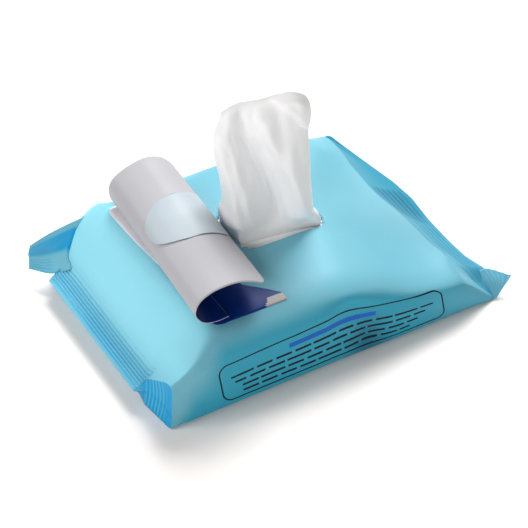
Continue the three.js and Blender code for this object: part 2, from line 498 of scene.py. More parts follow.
def even_directions(count):
    """Directions that give even steps round the body's section, from +Y over the top."""
    fine = 10 * FINE_STEPS
    points = []
    for i in range(fine + 1):
        direction = 2.0 * math.pi * i / fine
        across, rise = section(direction, TOP_SQUARENESS)
        height = (TOP_HEIGHT - WAIST) if rise >= 0.0 else WAIST
        points.append((across * HALF_WIDTH, rise * height))
    lengths = [0.0]
    for before, after in zip(points, points[1:]):
        lengths.append(lengths[-1] + math.dist(before, after))
    directions = []
    i = 0
    for step in range(count):
        wanted = lengths[-1] * step / count
        while lengths[i + 1] < wanted:
            i += 1
        directions.append(2.0 * math.pi * i / fine)
    half = count // 2
    for step in range(1, half):
        directions[count - step] = 2.0 * math.pi - directions[step]
    directions[half] = math.pi
    return directions


def crown(x, y):
    """Height of the filled top before its edges round off."""
    back = smooth(y, 0.0, 40.0)
    fallen = smooth(x, FALL_START + FALL_START_BACK_SHIFT * back, FALL_END)
    height = lerp(TOP_HEIGHT, RIGHT_TOP + RIGHT_TOP_BACK_RISE * back, fallen)
    height -= FRONT_FALL * smooth(x, -10.0, 62.0) * smooth(-y, 5.0, 45.0)
    height -= FRONT_CORNER_FALL * clamp((x - FALL_END) / 18.0) * clamp((-y - 38.0) / 14.0)
    if x < LEFT_SHOULDER:
        t = clamp((x - LEFT_WALL) / (LEFT_SHOULDER - LEFT_WALL))
        height = lerp(left_wall_height(y), height, lerp(t, smooth(t), 0.6))
    return height


def waist(x, y):
    """Height at which the film is widest."""
    return min(WAIST, WAIST_SHARE * crown(x, y))


def underside(middle, rise):
    """Height of the section's lower half: flat below, up to the waist at its sides."""
    return lerp(middle, 0.0, min(1.0, -rise * UNDERSIDE_SPREAD))


def top_squareness(x, behind):
    """How square the section's upper corners are: sharp at the ends, soft between them."""
    left = 1.0 - smooth(x, LEFT_WALL, LEFT_SHOULDER)
    if behind:
        left = 1.2 * (1.0 - smooth(x, LEFT_SHOULDER - 12.0, LEFT_SHOULDER + 8.0))
    right = smooth(x, 50.0, 76.0)
    return lerp(TOP_SQUARENESS, CORNER_SQUARENESS, max(left, 0.6 * right))


def film_top(x, y):
    """Height of the film's upper face over a point of the plan, without small folds."""
    squareness = top_squareness(x, y > 0.0)
    across = min(1.0, abs(y) / HALF_WIDTH)
    rise = (1.0 - across ** squareness) ** (1.0 / squareness)
    return lerp(waist(x, y), crown(x, y), rise)


def left_wall_height(y):
    """Height of the film's edge at the left wall: low at the seal, high at the corners."""
    front = clamp((SEAL_FRONT + 6.0 - y) / 24.0)
    back = clamp((y - SEAL_BACK + 1.0) / 10.0)
    return lerp(SEAL_HEIGHT + 1.5, GUSSET_HEIGHT, max(front, 0.15 * back))


def seal_presence(y):
    """1 along the crimped part of the left seal, 0 past its ends."""
    return plateau(y, SEAL_FRONT - 0.5, SEAL_FRONT + 0.5, SEAL_BACK - 0.5, SEAL_BACK + 0.5)


def left_wall_x(y, up):
    """Place of the left wall beside the seal; up is 0 at its foot and 1 at its top."""
    front = clamp((SEAL_FRONT - y) / 20.0)
    foot = lerp(-86.2, -83.6, front)
    top = lerp(-84.5, -81.8, front)
    if y > 0.0:
        foot = -82.0
        top = -81.0
    return lerp(foot, top, up)


def ridge_wave(distance):
    """Height, from -1 to 1, of the seal's ridges at a distance in from its free edge."""
    share = (distance - RIDGES_START) / (RIDGES_END - RIDGES_START)
    if share <= 0.0 or share >= 1.0:
        return 0.0
    fade = plateau(share, 0.0, 0.05, 0.7, 1.0)
    return fade * -math.sin(share * settings().film.crimps * 2.0 * math.pi)


def left_end_point(zone, share, direction):
    """A point of the left end: its gusset walls, its crimped seal and the start of the slope."""
    upper = math.sin(direction) >= 0.0
    squareness = CORNER_SQUARENESS if upper else LOW_SQUARENESS
    across, rise = section(direction, squareness)
    y = across * HALF_WIDTH * 0.995
    on_seal = seal_presence(y)
    wall_height = left_wall_height(y)
    middle = min(WAIST, WAIST_SHARE * wall_height)
    low = underside(middle, rise)
    edge = lerp(middle, wall_height, rise) if upper else low
    level = lerp(middle, edge, share) if zone == "panel" else edge
    up = clamp(level / max(1.0, wall_height))
    wall_x = left_wall_x(y, up)
    steps = PANEL_STEPS + SEAL_STEPS
    if zone == "panel":
        whole = share * PANEL_STEPS / steps
        hollow = GUSSET_HOLLOW * math.sin(math.pi * up) * clamp((wall_height - 10.0) / 12.0)
        hollow *= smooth(HALF_WIDTH - abs(y), 1.0, 7.0)
        corner = Vector((wall_x + hollow, y, level))
    else:
        whole = (PANEL_STEPS + share * SEAL_STEPS) / steps
        x = lerp(wall_x, LEFT_SEAL_ROOT, share)
        corner = Vector((x, y, film_top(x, y) if upper else low))
        if upper and rise < 0.9:
            corner.z = lerp(waist(x, y), crown(x, y), rise)
    if on_seal <= 0.0:
        return corner
    x = lerp(LEFT_EDGE, LEFT_SEAL_ROOT, whole)
    distance = x - LEFT_EDGE
    flat = SEAL_HEIGHT + SEAL_SLOPE * distance
    if upper:
        meeting = film_top(max(x, LEFT_WALL + 0.5), y)
        joined = smooth(whole, lerp(0.62, 0.3, smooth(-y, 18.0, 38.0)), 1.0)
        wave = 0.35 * soft_noise(x * 0.2, y, 0.0, 16.0) * smooth(whole, 0.0, 0.2)
        z = lerp(flat, max(flat, meeting), joined)
        z += SEAL_RIDGE_HEIGHT * ridge_wave(distance) + wave
    else:
        under = flat - SEAL_THICKNESS
        z = under - under * smooth(whole, 0.3, 1.0) ** 0.7
    return corner.lerp(Vector((x, y, z)), on_seal)


def film_station(step):
    """Zone and share along it of one ring of the film, from the left edge to the right edge."""
    for zone, steps in (
        ("panel", PANEL_STEPS), ("seal", SEAL_STEPS), ("slope", SLOPE_STEPS), ("body", BODY_STEPS),
    ):
        if step <= steps:
            return zone, step / steps
        step -= steps
    return "right", step / RIGHT_STEPS


def right_lines(share, y):
    """Height, from -1 to 1, of the crimp lines on the right end."""
    patch = plateau(y, -12.0, -9.0, 11.0, 14.0)
    patch *= plateau(share, 0.08, 0.14, 0.8, 0.86)
    lower = (1.0 - smooth(y, -13.0, -9.0)) * smooth(share, 0.3, 0.4)
    lower *= 1.0 - smooth(share, 0.86, 0.94)
    return (patch + 0.8 * lower) * math.sin(share * RIGHT_RIDGE_COUNT * 2.0 * math.pi)


def film_point(step, direction):
    """A point of the film's outer face, in millimetres."""
    zone, share = film_station(step)
    if zone in ("panel", "seal"):
        return left_end_point(zone, share, direction)
    upper = math.sin(direction) >= 0.0
    if zone == "slope":
        about = lerp(LEFT_SEAL_ROOT, LEFT_SHOULDER, share)
    elif zone == "body":
        about = lerp(LEFT_SHOULDER, 60.0, share)
    else:
        about = 62.0
    squareness = top_squareness(about, math.cos(direction) > 0.0) if upper else LOW_SQUARENESS
    across, rise = section(direction, squareness)
    y = across * HALF_WIDTH
    ridge = along_table(RIDGE_LINE, y)[0]
    if zone == "slope":
        x = about
    elif zone == "body":
        x = lerp(LEFT_SHOULDER, ridge, share)
    else:
        x = ridge
    middle = waist(x, y)
    z = lerp(middle, crown(x, y), rise) if upper else underside(middle, rise)
    point = Vector((x, y, z))
    if zone != "right":
        return point
    edge_x, edge_z = along_table(RIGHT_EDGE_LINE, y)
    sag = 1.2 * math.sin(math.pi * share) * smooth(point.z, 8.0, 20.0)
    end = Vector((max(edge_x, ridge + 0.6), y * 0.985, min(edge_z, max(0.8, point.z))))
    if upper:
        point = point.lerp(end, share)
        point.z -= sag
        point.z += RIGHT_RIDGE_HEIGHT * right_lines(share, y)
        return point
    x = lerp(ridge, end.x, share)
    z = lerp(point.z, max(0.0, end.z - 0.5), smooth(share, 0.35, 1.0))
    return Vector((x, lerp(y, end.y, share), z))


def dent_depth(x, z):
    """Depth of the pressed-in crease in the front side."""
    valley = -1.0 + (TOP_HEIGHT - z) * 0.5
    depth = DENT_DEPTH * bell(x - valley, DENT_WIDTH)
    return depth * smooth(z, 1.0, 14.0) * (1.0 - smooth(z, 23.0, 33.0))


def with_folds(point):
    """The point moved by the film's dents and soft waves, away from the underside."""
    x, y, z = point
    above = smooth(z, 3.0, 12.0)
    inner = plateau(x, -76.0, -62.0, 56.0, 66.0)
    wave = 0.32 * soft_noise(x, y * 0.8, z + 40.0, 27.0) + 0.2 * soft_noise(x + 90.0, y, z, 12.0)
    z += wave * above * inner
    if y < -36.0:
        dent = dent_depth(x, z) * smooth(-y, 38.0, 50.0)
        y += dent
        z -= 0.15 * dent * above
        bulge = 0.9 * soft_noise(x, 3.0, z * 1.5, 22.0) * smooth(-y, 50.0, 56.0)
        y += bulge * inner * smooth(z, 2.0, 10.0)
        y -= 0.7 * smooth(x, 0.0, 30.0) * smooth(-y, 50.0, 57.0)
    return Vector((x, y, z))


def opening_distance(x, y):
    """Distance in the plan from the opening's outline, negative inside."""
    return rounded_distance(
        x - OPENING_MIDDLE[0], y - OPENING_MIDDLE[1], *OPENING_HALF, OPENING_CORNER)


def opening_slope(x, y):
    """Direction in the plan that leads straight out of the opening."""
    step = 0.05
    distance = opening_distance(x, y)
    return Vector((
        (opening_distance(x + step, y) - distance) / step,
        (opening_distance(x, y + step) - distance) / step))


def snapped_to_opening(point):
    """Moves a point that is close to the opening's outline onto it."""
    distance = opening_distance(point.x, point.y)
    if abs(distance) > SNAP_REACH or point.z < TOP_HEIGHT / 2.0:
        return point
    slope = opening_slope(point.x, point.y)
    return Vector((point.x - slope.x * distance, point.y - slope.y * distance, point.z))


def painted_fold_shade(zone, share, point):
    """How much painted shade the film's colour takes at a point, from 0 to 1: in the seal's crimp
    grooves, on the gusset walls and on the right end, which face away from the light.
    """
    x, y = point.x, point.y
    # The gusset walls beside the seal take full painted shade.
    if zone in ("panel", "seal") and seal_presence(y) < 0.5:
        return 1.0 if zone == "panel" else 0.0
    # Painted shade in the seal's crimp grooves, with a darker streak and a dark line near its free
    # edge.
    if zone in ("panel", "seal"):
        distance = x - LEFT_EDGE
        groove = max(0.0, -ridge_wave(distance))
        streak = bell(distance - 3.0, 2.4) * bell(y + 4.0, 16.0)
        base = 0.22 * (1.0 - smooth(distance, 6.0, 13.0))
        return clamp(base + groove * (0.55 + 0.8 * streak) + 0.3 * bell(distance - 1.4, 0.5))
    # Painted shade on the right end, which faces away from the light, deeper in its crimp lines and
    # patch.
    if zone == "right":
        groove = max(0.0, -right_lines(share, y))
        patch = plateau(y, -12.0, -10.0, 11.0, 13.0)
        patch *= smooth(share, 0.08, 0.14)
        return clamp((0.3 + 0.65 * groove + 0.3 * patch) * smooth(share, 0.0, 0.05))
    return 0.0


# the printed outline's top line on the front side: place along the pack and height
LINE_LEFT = (-60.0, 23.0)
LINE_MIDDLE = (-2.0, 25.5)
LINE_RIGHT = (51.0, 18.0)


def print_line_height(x):
    """Height of the printed outline's top line on the front side."""
    if x < LINE_MIDDLE[0]:
        t = (x - LINE_LEFT[0]) / (LINE_MIDDLE[0] - LINE_LEFT[0])
        return lerp(LINE_LEFT[1], LINE_MIDDLE[1], t)
    t = (x - LINE_MIDDLE[0]) / (LINE_RIGHT[0] - LINE_MIDDLE[0])
    return max(4.0, lerp(LINE_MIDDLE[1], LINE_RIGHT[1], t))


def right_end_painted_shade(share, y):
    """How much painted side shade and painted deep shade the right end takes, where it faces away
    from the light.
    """
    below_fold = smooth(share, 0.0, 0.06)
    front = 0.85 * below_fold * (1.0 - 0.5 * smooth(-y, 28.0, 46.0))
    patch = plateau(y, -10.0, -8.0, 11.0, 13.0)
    patch *= plateau(share, 0.1, 0.14, 0.84, 0.88)
    lines = max(0.0, -right_lines(share, y))
    return front, below_fold * (0.16 + 0.2 * lines) + patch * (0.2 + 0.3 * lines)


def paint_film_light_and_shade(bm, plans, right_end):
    """Stores painted light and shade at each vertex, by the way that its face points: painted shade
    on the front side, at the dent's bottom, on the right end and on the left gusset walls, and a
    painted highlight on the left slope.
    """
    fold_shade_layer = bm.verts.layers.float["painted_fold_shade"]
    painted_side_shade = bm.verts.layers.float["painted_side_shade"]
    deep = bm.verts.layers.float["painted_deep_shade"]
    pale = bm.verts.layers.float["painted_slope_highlight"]
    for vertex in bm.verts:
        facing = -vertex.normal.y
        spot = plans[vertex]
        # Painted shade on the front side where it faces the camera and away from the light, lighter
        # towards the right.
        turn = -84.0 + 0.7 * spot.z
        front = smooth(facing, 0.5, 0.98) * smooth(spot.x, turn - 2.0, turn + 9.0)
        front *= 1.0 - 0.35 * smooth(spot.x, 30.0, 66.0)
        lined = 0.0
        if vertex in right_end:
            front, lined = right_end_painted_shade(right_end[vertex], spot.y)
        vertex[painted_side_shade] = front
        # Painted shade at the bottom of the front dent, and on the right end.
        dent_shade = bell(spot.x - 14.0, 9.0) * (1.0 - smooth(spot.z, 4.0, 17.0))
        vertex[deep] = max(lined, 0.75 * smooth(facing, 0.2, 0.8) * dent_shade)
        # Painted highlight on the left slope, away from its front side, where it faces the light.
        slope = smooth(-spot.x, 52.0, 66.0) * (1.0 - smooth(facing, 0.2, 0.6))
        vertex[pale] = slope * (1.0 - 0.75 * smooth(-spot.x, 74.0, 86.0))
        # The left gusset walls, which face away from the light, take full painted fold shade.
        wall = smooth(-vertex.normal.x, 0.75, 0.9) * smooth(-spot.y, 38.0, 39.0)
        vertex[fold_shade_layer] = max(vertex[fold_shade_layer], wall)


def cut_opening(bm, plans):
    """Takes away the film inside the opening's outline."""
    holes = []
    for face in bm.faces:
        points = [plans[vertex] for vertex in face.verts]
        x, y, z = (sum(point[axis] for point in points) / len(points) for axis in range(3))
        if z > TOP_HEIGHT / 2.0 and opening_distance(x, y) < -0.05:
            holes.append(face)
    bmesh.ops.delete(bm, geom=holes, context="FACES")


def build_film_body(bm):
    """The tube of film with its two closed ends and the opening in its top."""
    steps = PANEL_STEPS + SEAL_STEPS + SLOPE_STEPS + BODY_STEPS + RIGHT_STEPS
    bmesh.ops.create_cone(
        bm, cap_ends=False, segments=RING, radius1=1.0, radius2=1.0, depth=1.0)
    long_edges = [
        edge for edge in bm.edges
        if abs(edge.verts[0].co.z - edge.verts[1].co.z) > 0.5
    ]
    bmesh.ops.subdivide_edges(bm, edges=long_edges, cuts=steps - 1, use_grid_fill=True)
    # Vertex layers: painted fold shade, the print's place, painted side shade, painted deep shade,
    # painted highlight on crimp crests, and painted highlight on the left slope.
    fold_shade_layer = bm.verts.layers.float.new("painted_fold_shade")
    place = bm.verts.layers.float_vector.new("print_place")
    bm.verts.layers.float.new("painted_side_shade")
    bm.verts.layers.float.new("painted_deep_shade")
    crimps = bm.verts.layers.float.new("painted_crest_highlight")
    bm.verts.layers.float.new("painted_slope_highlight")
    directions = even_directions(RING)
    rings = {0: {}, steps: {}}
    plans = {}
    right_end = {}
    ridge = set()
    for vertex in bm.verts:
        turn = math.atan2(vertex.co.y, vertex.co.x) / (2.0 * math.pi)
        column = round(turn * RING) % RING
        step = round((vertex.co.z + 0.5) * steps)
        zone, share = film_station(step)
        point = film_point(step, directions[column])
        vertex[fold_shade_layer] = painted_fold_shade(zone, share, point)
        on_front = point.y < -PRINT_REACH
        level = point.z / print_line_height(point.x) if on_front else OFF_PRINT
        vertex[place] = Vector((point.x / PRINT_UNIT, level, 0.0))
        point = snapped_to_opening(with_folds(point))
        plans[vertex] = point
        vertex.co = to_frame(point)
        upper = directions[column] < math.pi
        if zone == "body" and share == 1.0 and upper and point.y > -56.0:
            ridge.add(vertex)
        if zone == "right" and share > 0.0 and upper:
            right_end[vertex] = share
        # Painted highlight on the crests of the crimps on the left gusset wall, which has no crimp
        # ridges of its own.
        if zone == "panel" and -56.0 < point.y < SEAL_FRONT:
            vertex[crimps] = 0.6 * smooth(point.y, -55.0, -50.0)
        if step in rings:
            rings[step][column] = vertex
    for edge in bm.edges:
        if all(vertex in ridge for vertex in edge.verts):
            edge.smooth = False
    for ring in rings.values():
        close_end(bm, ring)
    face_outwards(bm)
    paint_film_light_and_shade(bm, plans, right_end)
    cut_opening(bm, plans)


def face_outwards(bm):
    """Turns every normal outwards, judged by the upper face of the film."""
    bmesh.ops.recalc_face_normals(bm, faces=bm.faces)
    bm.normal_update()
    highest = max(bm.verts, key=lambda vertex: vertex.co.z)
    if highest.normal.z < 0.0:
        bmesh.ops.reverse_faces(bm, faces=bm.faces)
        bm.normal_update()


def close_end(bm, ring):
    """Closes one end of the tube by joining its upper half to its lower half."""
    for column in range(RING // 2):
        after = column + 1
        corners = [
            ring[column],
            ring[after],
            ring[(RING - after) % RING],
            ring[(RING - column) % RING],
        ]
        corners = list(dict.fromkeys(corners))
        if len(corners) >= 3:
            bm.faces.new(corners)


# back left corner: root and free edge of the folded ear, from its lower edge to its upper edge
LEFT_EAR = [
    [(-80, 43, 12), (-84.5, 47, 9.8), (-88.2, 50, 8.5), (-93.7, 59, 7.0)],
    [(-78, 49, 17), (-82.3, 53, 14.0), (-86.5, 56, 12.2), (-92.6, 60.8, 11.0)],
    [(-74.5, 52, 21), (-79.5, 56, 17.2), (-85, 59.5, 14.6), (-92, 62.5, 12.8)],
    [(-71, 54, 25), (-77, 57.5, 21.4), (-84, 60.8, 17.6), (-91, 63.2, 14.6)],
    [(-66.5, 54.5, 29.5), (-75, 58, 25.2), (-83, 61, 20.8), (-90.5, 63.5, 16)],
]
# front right corner: root and free edge of the flattened ear, from its front edge backwards
RIGHT_EAR = [
    [(80.8, -57.5, 1.2), (81.2, -58.3, 0.8), (81.7, -59, 0.4), (82.2, -59.5, 0.2)],
    [(79.5, -54.5, 3.0), (81.5, -55.3, 3.0), (83.8, -57, 3.6), (85.6, -58.7, 3.8)],
    [(78, -51, 5), (80.5, -52, 5), (84.5, -54.5, 6.4), (88.6, -58.2, 6.6)],
    [(76, -45, 8.2), (79.5, -46.2, 7.8), (84.4, -48.5, 9.0), (91, -57.5, 8.7)],
]


def patch_point(rows, u, v):
    """A point of a smooth patch through rows of points: u along the rows, v across them."""
    return spline([spline(row, u) for row in rows], v)


def build_ear(bm, rows, columns, lines, painted_shade_of, crimp_of, gap):
    """A folded ear of film: a visible layer and one behind it, joined along their free edges."""
    fold_shade_layer = bm.verts.layers.float["painted_fold_shade"]
    place = bm.verts.layers.float_vector["print_place"]
    for layer in (0, 1):
        made = bmesh.ops.create_grid(bm, x_segments=columns, y_segments=lines, size=1.0)
        for vertex in made["verts"]:
            u, v = grid_share(vertex)
            point = patch_point(rows, u, v)
            if LEFT_WALL < point.x < 0.0 and abs(point.y) < HALF_WIDTH - 0.5:
                resting = film_top(point.x, point.y) + 0.2
                point.z = lerp(resting, point.z, smooth(u, 0.0, 0.08))
            rim = min(1.0, 6.0 * min(1.0 - u, v, 1.0 - v))
            point += Vector(gap) * layer * max(0.0, rim)
            point.z += crimp_of(u, v) * (1.0 - layer)
            vertex[fold_shade_layer] = painted_shade_of(u, v)
            vertex[place] = Vector((0.0, OFF_PRINT, 0.0))
            vertex.co = to_frame(point)


EAR_LINES = 120.0
RIGHT_EAR_LINES = 62.0


# Painted shade in the ear's hollow pocket and in the crimp grooves near its lower edge.
def left_ear_painted_shade(u, v):
    pocket = plateau(v, 0.26, 0.4, 0.74, 0.86) * (1.0 - 0.5 * u)
    lower = 0.35 * (1.0 - smooth(v, 0.2, 0.3)) * (0.5 + 0.5 * math.sin(v * EAR_LINES))
    return clamp(pocket * 0.95 + lower * smooth(u, 0.4, 0.6) + 0.06)


def left_ear_crimp(u, v):
    return 0.22 * math.sin(v * EAR_LINES) * (1.0 - smooth(v, 0.2, 0.3)) * smooth(u, 0.4, 0.6)


# Painted shade towards the ear's root fold and in the crimp grooves near its free edge.
def right_ear_painted_shade(u, _):
    lines = max(0.0, math.sin(u * RIGHT_EAR_LINES)) * smooth(u, 0.45, 0.6)
    return clamp(0.7 * (1.0 - smooth(u, 0.0, 0.5)) + 0.35 * lines + 0.05)


def right_ear_crimp(u, _):
    return 0.16 * math.sin(u * RIGHT_EAR_LINES + 3.1) * smooth(u, 0.45, 0.6)


CRIMP_PITCH = 0.0022
HEADING_COLOUR = (0.01, 0.12, 0.50)


def film_material():
    """Printed satin film: light blue, with painted shade in its folds, grooves, front side, gusset
    walls and right end, painted highlights on the left slope and the gusset crimps, and a plain
    print on its front.
    """
    made = new_material("film")
    chosen = settings().film
    shader = shader_of(made)
    cloudy = object_noise(made, 22.0, 2.0)
    patchy = value_of(made, "MULTIPLY", value_of(made, "SUBTRACT", cloudy, 0.5), 0.25)
    depth = value_of(made, "ADD", attribute(made, "painted_fold_shade"), patchy, True)
    colour = mixed_colour(made, depth, chosen.colour, chosen.painted_fold_shade_colour)
    # Painted highlight on the left slope, held back where fold shade is painted.
    unshaded = value_of(made, "SUBTRACT", 1.0, depth)
    light = value_of(made, "MULTIPLY", attribute(made, "painted_slope_highlight"), unshaded)
    colour = mixed_colour(made, light, colour, chosen.painted_highlight_colour)
    # Painted shade on the front side and right end, then in the deepest crease.
    colour = mixed_colour(made, attribute(made, "painted_side_shade"), colour, chosen.painted_side_shade_colour)
    colour = mixed_colour(made, attribute(made, "painted_deep_shade"), colour, chosen.painted_deep_shade_colour)
    # Painted highlight: lighter crest lines over the gusset wall's painted shade.
    spot = coordinates(made, add_node(made, "ShaderNodeTexCoord").outputs["Object"])
    turns = value_of(made, "MULTIPLY", spot["Y"], 2.0 * math.pi / CRIMP_PITCH)
    crest = value_of(made, "MAXIMUM", value_of(made, "SINE", turns), 0.0)
    crest_highlight = value_of(made, "MULTIPLY", attribute(made, "painted_crest_highlight"), crest)
    colour = mixed_colour(made, crest_highlight, colour, chosen.colour)
    place = add_node(made, "ShaderNodeAttribute", attribute_name="print_place")
    print_spot = coordinates(made, place.outputs["Vector"])
    along = value_of(made, "MULTIPLY", print_spot["X"], PRINT_UNIT)
    level = print_spot["Y"]
    colour = mixed_colour(made, printed_lines(made, along, level), colour, chosen.ink_colour)
    colour = mixed_colour(made, heading_bar(made, along, level), colour, HEADING_COLOUR)
    link(made, colour, shader.inputs["Base Color"])
    shader.inputs["Roughness"].default_value = 0.45
    shader.inputs["Specular IOR Level"].default_value = 0.15
    add_bump(made, object_noise(made, 70.0, 4.0), strength=0.10, distance=0.001)
    return made


def band(made, value, middle, half):
    """1 where a value is within half of its middle, 0 elsewhere."""
    off = value_of(made, "ABSOLUTE", value_of(made, "SUBTRACT", value, middle))
    return value_of(made, "LESS_THAN", off, half)


def rounded_outline(made, across, up, half_across, half_up, corner, thickness):
    """1 on the line of a rounded rectangle round 0, 0 elsewhere."""
    past = []
    squares = []
    for value, half in ((across, half_across), (up, half_up)):
        off = value_of(made, "SUBTRACT", value_of(made, "ABSOLUTE", value), half - corner)
        far = value_of(made, "MAXIMUM", off, 0.0)
        past.append(off)
        squares.append(value_of(made, "MULTIPLY", far, far))
    away = value_of(made, "SQRT", value_of(made, "ADD", *squares))
    within = value_of(made, "MINIMUM", value_of(made, "MAXIMUM", *past), 0.0)
    distance = value_of(made, "ADD", away, within)
    return band(made, distance, corner, thickness / 2.0)


# the printed outline: places along the pack in millimetres, levels as shares of its top line
FRAME_MIDDLE = -4.5
FRAME_HALF_LENGTH = 56.0
FRAME_UNIT = 23.0
FRAME_LEVEL = 0.575
FRAME_HALF_LEVEL = 0.425
FRAME_LEAN = 3.0
FRAME_CORNER = 4.5
FRAME_LINE = 0.7
# the rows of dashes inside it and the bar above them
ROW_LEVELS = (0.665, 0.53, 0.395, 0.27)
ROW_HALF_LEVEL = 0.023
ROW_SHIFT = 13.0
DASH_WAVES = (0.61, 1.37)
DASH_SHARE = -1.15
HEADING_ALONG = (-4.0, 22.0)
HEADING_LEVEL = (0.825, 0.05)


def printed_lines(made, along, level):
    """The dark outline on the front side and the thin broken bars inside it."""
    lean = value_of(made, "MULTIPLY", value_of(made, "SUBTRACT", 1.0, level), FRAME_LEAN)
    across = value_of(made, "SUBTRACT", value_of(made, "SUBTRACT", along, FRAME_MIDDLE), lean)
    up = value_of(made, "MULTIPLY", value_of(made, "SUBTRACT", level, FRAME_LEVEL), FRAME_UNIT)
    half_up = FRAME_HALF_LEVEL * FRAME_UNIT
    found = rounded_outline(
        made, across, up, FRAME_HALF_LENGTH, half_up, FRAME_CORNER, FRAME_LINE)
    for number, middle in enumerate(ROW_LEVELS):
        shifted = value_of(made, "ADD", along, ROW_SHIFT * number)
        waves = [
            value_of(made, "SINE", value_of(made, "MULTIPLY", shifted, pace))
            for pace in DASH_WAVES
        ]
        dashes = value_of(made, "GREATER_THAN", value_of(made, "ADD", *waves), DASH_SHARE)
        row = value_of(made, "MULTIPLY", band(made, level, middle, ROW_HALF_LEVEL), dashes)
        half = FRAME_HALF_LENGTH - 5.0 - 3.0 * number
        row = value_of(made, "MULTIPLY", row, band(made, across, -1.5 * number, half))
        found = value_of(made, "MAXIMUM", found, row)
    return found


def heading_bar(made, along, level):
    """A plain blue bar in the heading's place."""
    return value_of(
        made, "MULTIPLY", band(made, along, *HEADING_ALONG), band(made, level, *HEADING_LEVEL))


class WIPES_OT_film(bpy.types.Operator):
    """Build the film pack with its seals, folded corners and opening"""

    bl_idname = "wipes.film"
    bl_label = "Film"

    def execute(self, context):
        bm = bmesh.new()
        build_film_body(bm)
        build_ear(bm, LEFT_EAR, 26, 60, left_ear_painted_shade, left_ear_crimp, (1.2, 1.0, 0.0))
        build_ear(bm, RIGHT_EAR, 60, 26, right_ear_painted_shade, right_ear_crimp, (0.0, 0.0, -0.8))
        face_outwards(bm)
        piece = finish_mesh(bm, "film_skin", [film_material()])
        thicken(piece, settings().film.thickness, offset=-1.0)
        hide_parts("film_pack")
        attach(piece, "root")
        return {"FINISHED"}


# ---------- label ----------


def label_outside_material():
    colour = settings().label.outside_colour
    return mottled_material(
        "label_outside", 60.0, 2.0, (colour, scaled(colour, 0.93)), roughness=0.55, specular=0.25)


def label_inside_material():
    colour = settings().label.inside_colour
    return mottled_material(
        "label_inside", 70.0, 3.0, (colour, scaled(colour, 1.6)), roughness=0.4, specular=0.2)


def cutout_material():
    colour = settings().label.cutout_colour
    return mottled_material(
        "cut_film", 55.0, 2.0, (colour, scaled(colour, 1.2)), roughness=0.5, specular=0.3)


MARGIN_COLOURS = ((0.82, 0.80, 0.86), (0.74, 0.73, 0.78))
TAB_COLOURS = ((0.50, 0.46, 0.44), (0.42, 0.39, 0.37))
LABEL_CORNER = 5.0
BASE_INNER = -34.0
BASE_LIFT = 0.22
LEFT_MARGIN = 4.2
BACK_MARGIN = 9.0
WEDGE_TIP = 3.6
TAB_LEFT = -31.2


def base_right(y):
    """Right edge of the lower ply: a narrow wedge at the front, hidden under the roll behind it."""
    past_tip = max(0.0, y - BASE_LOW.y - WEDGE_TIP)
    return lerp(BASE_HIGH.x - 0.9, BASE_INNER, clamp(past_tip / 12.0))


def build_label_base():
    """The lower ply, laid on the film: dark, with two pale margins and a small tab."""
    bm = bmesh.new()

    def place(u, v):
        y = lerp(BASE_LOW.y, BASE_HIGH.y, v)
        inset = corner_inset(min(y - BASE_LOW.y, BASE_HIGH.y - y), LABEL_CORNER)
        left = BASE_LOW.x + inset + 3.4 * (1.0 - smooth(v, 0.15, 0.85))
        x = lerp(left, base_right(y), u)
        surface = with_folds(Vector((x, y, film_top(x, y))))
        return Vector((x, y, surface.z + BASE_LIFT))

    grid_sheet(bm, 60, 120, place)
    for face in bm.faces:
        spot = face.calc_center_median() / MM - CENTRE
        behind_front = spot.y - BASE_LOW.y
        if spot.x < BASE_LOW.x + LEFT_MARGIN or spot.y > BASE_HIGH.y - BACK_MARGIN:
            face.material_index = 1
        elif spot.x > TAB_LEFT + behind_front * 0.8 and behind_front < WEDGE_TIP:
            face.material_index = 2
    bmesh.ops.recalc_face_normals(bm, faces=bm.faces)
    finishes = [
        label_inside_material(),
        mottled_material("label_margin", 80.0, 2.0, MARGIN_COLOURS, roughness=0.35),
        mottled_material("lift_tab", 200.0, 3.0, TAB_COLOURS, roughness=0.55),
    ]
    piece = finish_mesh(bm, "label_lower_ply", finishes)
    thicken(piece, settings().label.thickness)
    return piece


# side view of the upper ply, from its root round to the left and back over the top
CURL = [
    (-49.0, 39.6), (-55.0, 39.4), (-61.0, 41.4), (-64.6, 47.0), (-62.8, 52.6),
    (-57.0, 55.8), (-49.5, 56.5), (-43.0, 55.6), (-36.0, 52.6), (-30.4, 48.8),
]
CURL_STEPS = 90
CURL_STEP_LENGTH = 0.75
LEAN_ROOT = 7.0
LEAN_EDGE = 2.5
EDGE_RISE = 4.5


def curl_point(path, place, y, lift):
    """A point of the curled ply: place counts steps of the path, lift is off its outer face."""
    i = min(int(place), len(path) - 2)
    middle = path[i].lerp(path[i + 1], place - i)
    before = path[max(0, i - 1)]
    after = path[min(len(path) - 1, i + 2)]
    along = (after - before).normalized()
    share = place / (len(path) - 1)
    depth = clamp((y - FLAP_LOW.y) / (FLAP_HIGH.y - FLAP_LOW.y))
    opened = smooth(share, 0.0, 0.35)
    uncurled = smooth(share, 0.45, 1.0)
    lean = depth * opened * lerp(LEAN_ROOT, LEAN_EDGE, uncurled)
    rise = depth * uncurled * EDGE_RISE
    return Vector((middle.x - along.y * lift + lean, y, middle.y + along.x * lift + rise))


